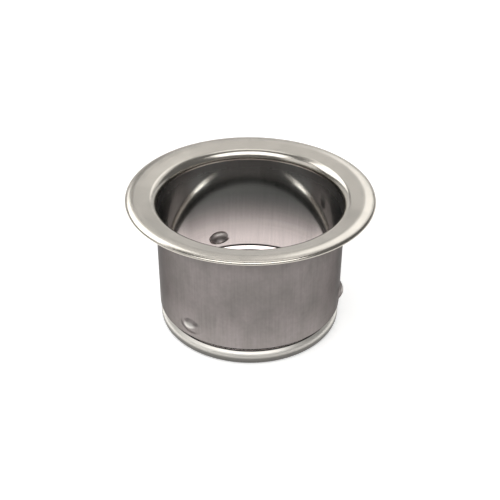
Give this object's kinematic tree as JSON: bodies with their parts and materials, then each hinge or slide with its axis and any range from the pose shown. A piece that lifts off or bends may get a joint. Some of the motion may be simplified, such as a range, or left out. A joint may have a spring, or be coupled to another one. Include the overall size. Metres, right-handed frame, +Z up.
{
  "type": "garbage disposal extended sink flange",
  "caption": "Deep round sink flange for a kitchen garbage disposal: dished rim, straight sleeve, stopper dimples, snap ring groove and rolled bottom bead.",
  "frame": {"origin": "centre of the bottom lip's underside, on the sleeve's axis", "axes": "+Z up along the sleeve's axis, out of the mouth; +X to the right and -Y to the front, with one stopper dimple near +X"},
  "size_m": [0.1142, 0.1142, 0.0661],
  "materials": {
    "satin_rim": "satin",
    "drawn_sleeve": "dull drawn stainless steel with faint draw marks",
    "polished_bead": "bright, smooth"
  },
  "bodies": {
    "root": {"rim_edge": "satin_rim", "rim_dish": "satin_rim", "mouth": "satin_rim", "sleeve": "drawn_sleeve", "stopper_dimple_right": "drawn_sleeve", "stopper_dimple_rear": "drawn_sleeve", "stopper_dimple_front": "drawn_sleeve", "snap_ring_groove": "drawn_sleeve", "bottom_bead": "polished_bead"}
  },
  "joints": []
}
